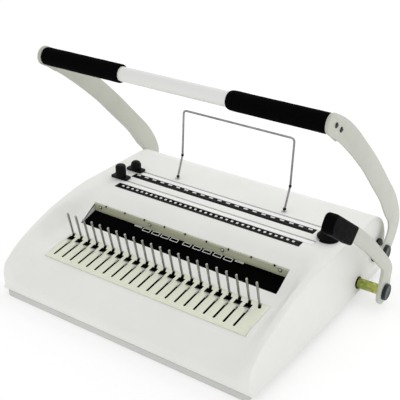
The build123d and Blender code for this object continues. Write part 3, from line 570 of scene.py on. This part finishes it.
def loose(profile, at, axis, n=28, flute=None):
    """A turned solid that joined() collects; it isn't a piece by itself."""
    at, axis = Vector(at), Vector(axis).normalized()
    u = axis.orthogonal().normalized()
    w = axis.cross(u)
    verts, faces = [], []
    for h, r in profile:
        for k in range(n):
            a = 2 * math.pi * k / n
            verts.append(tuple((at + axis * h + (u * math.cos(a) + w * math.sin(a)) * r) * MM))
    faces = grid_faces(len(profile), n, True)
    faces.append(tuple(reversed(range(n))))
    faces.append(tuple((len(profile) - 1) * n + j for j in range(n)))
    me = bpy.data.meshes.new("loose")
    me.from_pydata(verts, [], faces)
    bm = bmesh.new()
    bm.from_mesh(me)
    bmesh.ops.recalc_face_normals(bm, faces=bm.faces)
    bm.to_mesh(me)
    bm.free()
    return bpy.data.objects.new("loose", me)


def dome(r, h, lip=0.3, n=6):
    """Profile of a domed screw head sitting on z = 0."""
    out = [(0, r)]
    for k in range(n + 1):
        a = math.radians(90 * k / n)
        out.append((lip + (h - lip) * math.sin(a), max(r * math.cos(a), 0.05)))
    return out


for node, width, segs in (("handle_arm_left", 0.55, 3), ("handle_arm_right", 0.55, 3), ("tube_lugs", 0.35, 2),
                          ("lever_bar", 1.1, 3), ("closing_bar", 0.5, 2), ("front_guide", 0.5, 2),
                          ("rear_guide", 0.5, 2), ("front_strip", 0.15, 1), ("rear_strip", 0.15, 1),
                          ("wire_buttons", 0.35, 2), ("comb_buttons", 0.35, 2), ("chip_tray", 0.8, 3), ("base_tray", 0.8, 2),
                          ("comb_plate", 0.3, 2), ("selector_plate", 0.5, 2), ("comb_hooks", 0.25, 1)):
    finer(node, width, segs)

# ------------------------------------------------------- handle and grips
TUBE_AT = (0.0, -41.0, 302.5)


def sleeve(name, x_in, x_out, profile_in, node):
    """Foam sleeve on the tube; profile_in is (distance from the inner end, radius)."""
    sgn = 1 if x_out > x_in else -1
    total = abs(x_out - x_in)
    prof = list(profile_in)
    s = prof[-1][0] + 3
    while s < total - 4:
        prof.append((s, 12.0))
        s += 3.0
    prof += [(total - 1.6, 11.95), (total - 0.6, 11.6), (total, 10.9), (total, 9.42)]
    k = 6
    inner = [(total - (total - 0.0) * i / k, 9.42) for i in range(1, k + 1)]
    prof += inner[:-1] + [(0.0, 9.42)]
    rings = []
    n = 72
    for h, r in prof:
        ring = []
        for j in range(n):
            a = 2 * math.pi * j / n
            x = x_in + sgn * h
            rr = r
            if r > 10.5:
                p = Vector((x, 12 * math.cos(a), 12 * math.sin(a)))
                rr = min(12.0, r - 0.10 + 0.16 * mnoise.noise(p * 0.06) + 0.06 * mnoise.noise(p * 0.3))
            ring.append((x, TUBE_AT[1] + rr * math.cos(a), TUBE_AT[2] + rr * math.sin(a)))
        rings.append(ring)
    o = ringed(name, rings, "handle", FOAM, [node], closed=True, angle=40)
    return o


sleeve("foam_grip_right", 79.5, 207.4, [(0, 9.6), (0.25, 10.1), (0.9, 10.7), (2.0, 11.25), (3.6, 11.65), (5.6, 11.9), (8, 12)], "grip_right")
sleeve("foam_grip_left", -79.5, -207.4, [(0, 9.6), (0.0, 11.3), (0.35, 11.8), (1.2, 12.0), (3, 12.0)], "grip_left")

# screw heads on the arms, each ringed by black as painted shade for the shaded recess around the head
heads, rims = [], []
for sx in (-1, 1):
    for y, z in ((-33.0, 299.0), (-20.0, 289.5)):
        rims.append(loose([(-0.3, 3.35), (0.0, 3.35), (0.5, 3.2), (0.7, 2.7), (0.72, 0.05)], (sx * 212.0, y, z), (sx, 0, 0)))
        heads.append(loose([(0.2, 2.35), (0.9, 2.3), (1.5, 1.9), (1.8, 1.25), (1.82, 1.1), (1.2, 1.0), (1.1, 0.05)],
                           (sx * 212.0, y, z), (sx, 0, 0), 32))
joined("arm_screw_heads", heads, "handle", DARK_M, ["arm_screws"])
joined("arm_screw_shade_rings", rims, "handle", BLACK, ())

# ---------------------------------------------------------- caps and knobs
cap_prof = [(0, 11.2), (0.15, 11.5), (3.2, 11.5), (3.9, 11.35), (4.5, 10.9), (4.9, 10.0), (5.0, 9.0), (4.82, 8.6),
            (4.8, 0.05)]
turned("pivot_cap_right_form", cap_prof, (212.0, 157.3, 45.3), (1, 0, 0), "handle", CAPM, 64, ["pivot_cap_right"])
turned("pivot_cap_left_form", cap_prof, (-212.0, 157.3, 45.3), (-1, 0, 0), "handle", CAPM, 64, ["pivot_cap_left"])
turned("lever_cap_form", cap_prof, (238.5, 102.5, 21.0), (1, 0, 0), "lever", CAPM, 64, ["lever_cap"])

fl = 0.45
turned("front_knob_form", [(0, 7.2), (0.3, 7.7, 0), (1.6, 7.8, 0), (2.0, 7.8, fl), (14.6, 7.7, fl), (15.9, 7.4, fl * 0.6),
                           (17.0, 6.6, 0.1), (17.7, 5.2, 0), (18.0, 3.2, 0), (17.85, 2.6), (17.85, 0.05)],
       (-160, 42, 107.0), (0, 0, 1), "front_stop_knob", BLACK, 144, ["front_knob"], flute=18)
turned("rear_knob_form", [(0, 7.2), (0.3, 7.7, 0), (1.6, 7.8, 0), (2.0, 7.8, fl), (6.2, 7.7, fl), (8.2, 7.2, fl * 0.6),
                          (10.0, 6.1, 0.1), (11.3, 4.4, 0), (12.0, 2.2, 0), (12.0, 0.05)],
       (-158, 75, 107.0), (0, 0, 1), "rear_stop_knob", BLACK, 144, ["rear_knob"], flute=18)

# selector knob: flared skirt, grip wings and a pale pointer mark
prof = [(0.0, 14.0), (0.3, 14.7), (1.2, 14.9), (1.9, 14.6), (3.0, 13.0), (4.4, 11.6), (6.0, 10.8), (7.6, 10.5, 0.4),
        (9.6, 10.3, 0.4), (10.5, 9.8, 0.3), (11.0, 8.8, 0), (11.2, 7.4, 0), (11.0, 6.9), (10.95, 0.05)]
turned("selector_knob_form", prof, (172.3, 55.5, 106.0), (0, 0, 1), "selector", SATIN, 144, ["selector_knob"], flute=12)


def slab(name, corners, thick, body, mat, replaces=()):
    """Thin rounded bar given by its four top corners; thickness goes against the face normal."""
    c = [Vector(p) for p in corners]
    nrm = (c[1] - c[0]).cross(c[3] - c[0]).normalized()
    v = c + [p - nrm * thick for p in c]
    o = new_obj(name, v, [(0, 1, 2, 3), (7, 6, 5, 4), (0, 4, 5, 1), (1, 5, 6, 2), (2, 6, 7, 3), (3, 7, 4, 0)], body, mat, replaces)
    b = o.modifiers.new("soft", "BEVEL")
    b.width, b.segments = min(thick * 0.4, 0.25) * MM, 2
    apply_mods(o)
    return dress(o, body, mat, replaces, angle=40)


m_a, m_b, m_w = Vector((166.3, 54.2, 117.3)), Vector((174.5, 50.2, 117.3)), Vector((0.285, 0.584, 0))
slab("selector_mark", [m_a - m_w, m_b - m_w, m_b + m_w, m_a + m_w], 0.3, "selector", CREAM)

# ------------------------------------------------------------- lever grip
GRIP_M = moulded("grip_vinyl", (0.0010, 0.0011, 0.0011), (0.0018, 0.0019, 0.0019), (0.5, 0.65), 1300, 0.15, 0.02)
G_AT = Vector((236.0, -21.1, 164.5))
G_D = Vector((0, -0.8118, 0.5840)).normalized()
G_W = Vector((0, 0.5840, 0.8118)).normalized()
G_CORNERS = [((0.0, 12.0), 2.5), ((6.0, -12.0), 2.5), ((80.5, -12.0), 8.5), ((80.5, 12.0), 8.5)]


def grip_outline(e, per=14):
    """Rounded outline in the grip's own plane, drawn in by e."""
    P = [np.array(c) for c, r in G_CORNERS]
    mid = sum(P) / 4
    lines = []
    for k in range(4):
        a, b = P[k], P[(k + 1) % 4]
        n = np.array([-(b - a)[1], (b - a)[0]]) / np.linalg.norm(b - a)
        if n @ (mid - a) < 0:
            n = -n
        lines.append((a + n * e, b - a))
    pts = []
    for k in range(4):
        (p, u), (q, v) = lines[k - 1], lines[k]
        t = np.linalg.solve(np.array([u, -v]).T, q - p)[0]
        c = p + u * t
        r = max(G_CORNERS[k][1] - e, 0.8)
        u, v = -u / np.linalg.norm(u), v / np.linalg.norm(v)
        half = math.acos(float(np.clip(u @ v, -1, 1))) / 2
        o = c + (u + v) / np.linalg.norm(u + v) * r / math.sin(half)
        A, B = c + u * r / math.tan(half) - o, c + v * r / math.tan(half) - o
        a0 = math.atan2(A[1], A[0])
        da = (math.atan2(B[1], B[0]) - a0 + math.pi) % (2 * math.pi) - math.pi
        for i in range(per):
            a = a0 + da * i / (per - 1)
            pts.append((o[0] + r * math.cos(a), o[1] + r * math.sin(a)))
    return pts


rings = []
edge = 3.4
levels = []
for k in range(9):
    a = math.radians(90 * k / 8)
    levels.append((-7.2 + edge * (1 - math.sin(a)), edge * (1 - math.cos(a))))
levels = sorted(levels + [(-t, e) for t, e in levels])
seen = []
for t, e in levels:
    if not seen or t - seen[-1][0] > 1e-4:
        seen.append((t, e))
for t, e in seen:
    rings.append([tuple(G_AT + Vector((t, 0, 0)) + G_D * s + G_W * w) for s, w in grip_outline(e)])
ringed("lever_grip_form", rings, "lever", GRIP_M, ["lever_grip"], angle=40)

# ------------------------------------------------------------ closing bar
heads, rims, notch_shade_marks = [], [], []
for x in (-147, -59, 60, 146):
    rims.append(loose([(-0.2, 2.75), (0.2, 2.75), (0.45, 2.5), (0.46, 0.05)], (x, -20.8, 85.0), (0, -1, 0), 28))
    heads.append(loose(dome(2.05, 1.6), (x, -20.9, 85.0), (0, -1, 0), 28))
joined("closing_screw_heads", heads, "closer", STEEL, ["closing_screws"])
joined("closing_screw_cups", rims, "closer", BLACK, ())
# black pegs in the bar's notches: painted shade standing in for the shadow inside the notches
for i in range(-4, 5):
    notch_shade_marks.append(loose([(0, 0.8), (0.2, 0.95), (2.6, 0.95), (3.0, 0.7), (3.2, 0.05)], (i * 34.35, -19.75, 87.2), (0, 0, 1), 20))
joined("bar_notch_shade", notch_shade_marks, "closer", BLACK, ())

# the walls of the comb plate's openings are painted black as painted shade, standing in for the shade deep inside the
# openings
o = bpy.data.objects["comb_plate_form"]
o.data.materials.append(SATIN)
to_plate = PLATE.inverted()
plate_up = (to_plate.to_3x3().transposed() @ Vector((0, 0, 1))).normalized()
for poly in o.data.polygons:
    c = to_plate @ ((o.matrix_world @ poly.center) / MM)
    if -162 < c.x < 151.5 and -5.6 < c.y < 48.9 and c.z < -0.2 and abs(poly.normal.dot(plate_up)) < 0.35:
        poly.material_index = len(o.data.materials) - 1

# generic row of plain outlined boxes on the black floor
F_T = math.radians(15.5)
F_Y, F_N = Vector((0, math.cos(F_T), math.sin(F_T))), Vector((0, -math.sin(F_T), math.cos(F_T)))
F_O = Vector((0, -50.7, 69.0))
verts, faces = [], []
for xc in (-78.0, -62.5, -46.5, -31.0, -15.5, 5.5, 22.0, 38.0, 54.5, 71.0, 87.0):
    w, y0, y1, line = 12.6, (25.2 if -70 < xc < 80 else 28.6), 31.0, 0.8
    outer = [(xc - w / 2, y0), (xc + w / 2, y0), (xc + w / 2, y1), (xc - w / 2, y1)]
    inner = [(xc - w / 2 + line, y0 + line), (xc + w / 2 - line, y0 + line), (xc + w / 2 - line, y1 - line), (xc - w / 2 + line, y1 - line)]
    n0 = len(verts)
    for h in (0.12, 0.01):
        for x, y in outer + inner:
            verts.append(tuple(F_O + Vector((x, 0, 0)) + F_Y * y + F_N * h))
    for k in range(4):
        m = (k + 1) % 4
        faces += [(n0 + k, n0 + m, n0 + 4 + m, n0 + 4 + k), (n0 + 8 + m, n0 + 8 + k, n0 + 12 + k, n0 + 12 + m),
                  (n0 + m, n0 + k, n0 + 8 + k, n0 + 8 + m), (n0 + 4 + k, n0 + 4 + m, n0 + 12 + m, n0 + 12 + k)]
new_obj("floor_marks", verts, faces, "chassis", LIP, (), smooth=False)

# dark sheet under the comb plate: painted shade that darkens the view down through its openings
verts = []
for h in (-11.5, -12.0):
    for x, y in ((-150, -6.5), (145, -6.5), (145, 44), (-150, 44)):
        verts.append(tuple(PLATE @ Vector((x, y, h))))
o = new_obj("plate_shade_sheet", verts, [(0, 1, 2, 3), (7, 6, 5, 4), (0, 4, 5, 1), (1, 5, 6, 2), (2, 6, 7, 3), (3, 7, 4, 0)], "chassis", SATIN, (), smooth=False)

# --------------------------------------------------------- paper support
collars = []
for sx in (-1, 1):
    for at, d, h, r in (((sx * 89.9, 99.4, 135.0), (0, 0.3, 0.95), 3.6, 1.95), ((sx * 89.6, 87.3, 105.3), (0, 0.379, 0.925), 3.4, 2.2)):
        collars.append(loose([(0, r - 0.35), (0.3, r), (h - 0.3, r), (h, r - 0.35)], at, d, 24))
joined("support_collars", collars, "support", BLACK, ())


# ------------------------------------------------- floor, light, exposure
me = bpy.data.meshes.new("ground")
me.from_pydata([(-6, -6, 0), (6, -6, 0), (6, 6, 0), (-6, 6, 0)], [], [(0, 1, 2, 3)])
ground = bpy.data.objects.new("ground", me)
bpy.context.scene.collection.objects.link(ground)
gm, nt, p = new_mat("ground")
gcol = mixc(nt, noise(nt, coords(nt), 3.0, 2), (0.50, 0.50, 0.50), (0.48, 0.48, 0.48))
link(nt, gcol, p.inputs["Base Color"])
p.inputs["Roughness"].default_value = 0.9
p.inputs["Specular IOR Level"].default_value = 0.1
p.inputs["Emission Color"].default_value = (1, 1, 1, 1)
p.inputs["Emission Strength"].default_value = 0.53
me.materials.append(gm)

# soft white surroundings, a little darker up front
world = bpy.data.worlds.new("studio")
bpy.context.scene.world = world
world.use_nodes = True
nt = world.node_tree
bg = nt.nodes["Background"]
bg.inputs["Strength"].default_value = 0.86
tc = nt.nodes.new("ShaderNodeTexCoord")
dot = nt.nodes.new("ShaderNodeVectorMath")
dot.operation = "DOT_PRODUCT"
nt.links.new(tc.outputs["Generated"], dot.inputs[0])
dot.inputs[1].default_value = (0.13, -0.70, 0.70)
mr = nt.nodes.new("ShaderNodeMapRange")
mr.interpolation_type = "SMOOTHSTEP"
mr.inputs["From Min"].default_value = 0.35
mr.inputs["From Max"].default_value = 1.0
mr.inputs["To Min"].default_value = 1.0
mr.inputs["To Max"].default_value = 0.97
nt.links.new(dot.outputs["Value"], mr.inputs["Value"])
nt.links.new(mr.outputs["Result"], bg.inputs["Color"])


def area(name, at, aim, size, power, color=(1, 1, 1)):
    d = bpy.data.lights.new(name, "AREA")
    d.shape, d.size, d.energy, d.color = "SQUARE", size, power, color
    o = bpy.data.objects.new(name, d)
    bpy.context.scene.collection.objects.link(o)
    o.location = at
    o.rotation_mode = "QUATERNION"
    o.rotation_quaternion = (Vector(aim) - Vector(at)).to_track_quat("-Z", "Y")
    return o


area("front", (-0.3, -2.2, 0.5), (0, 0, 0.1), 1.6, 0.5)
area("right", (2.2, -0.1, 0.9), (0, 0, 0.1), 1.6, 3.6, (0.95, 0.98, 1.0))
area("back", (0.2, 1.9, 1.6), (0, 0, 0.1), 1.6, 14, (1.0, 1.0, 0.97))
area("key", (-1.2, -1.1, 2.0), (0, 0, 0.1), 1.6, 1.5)
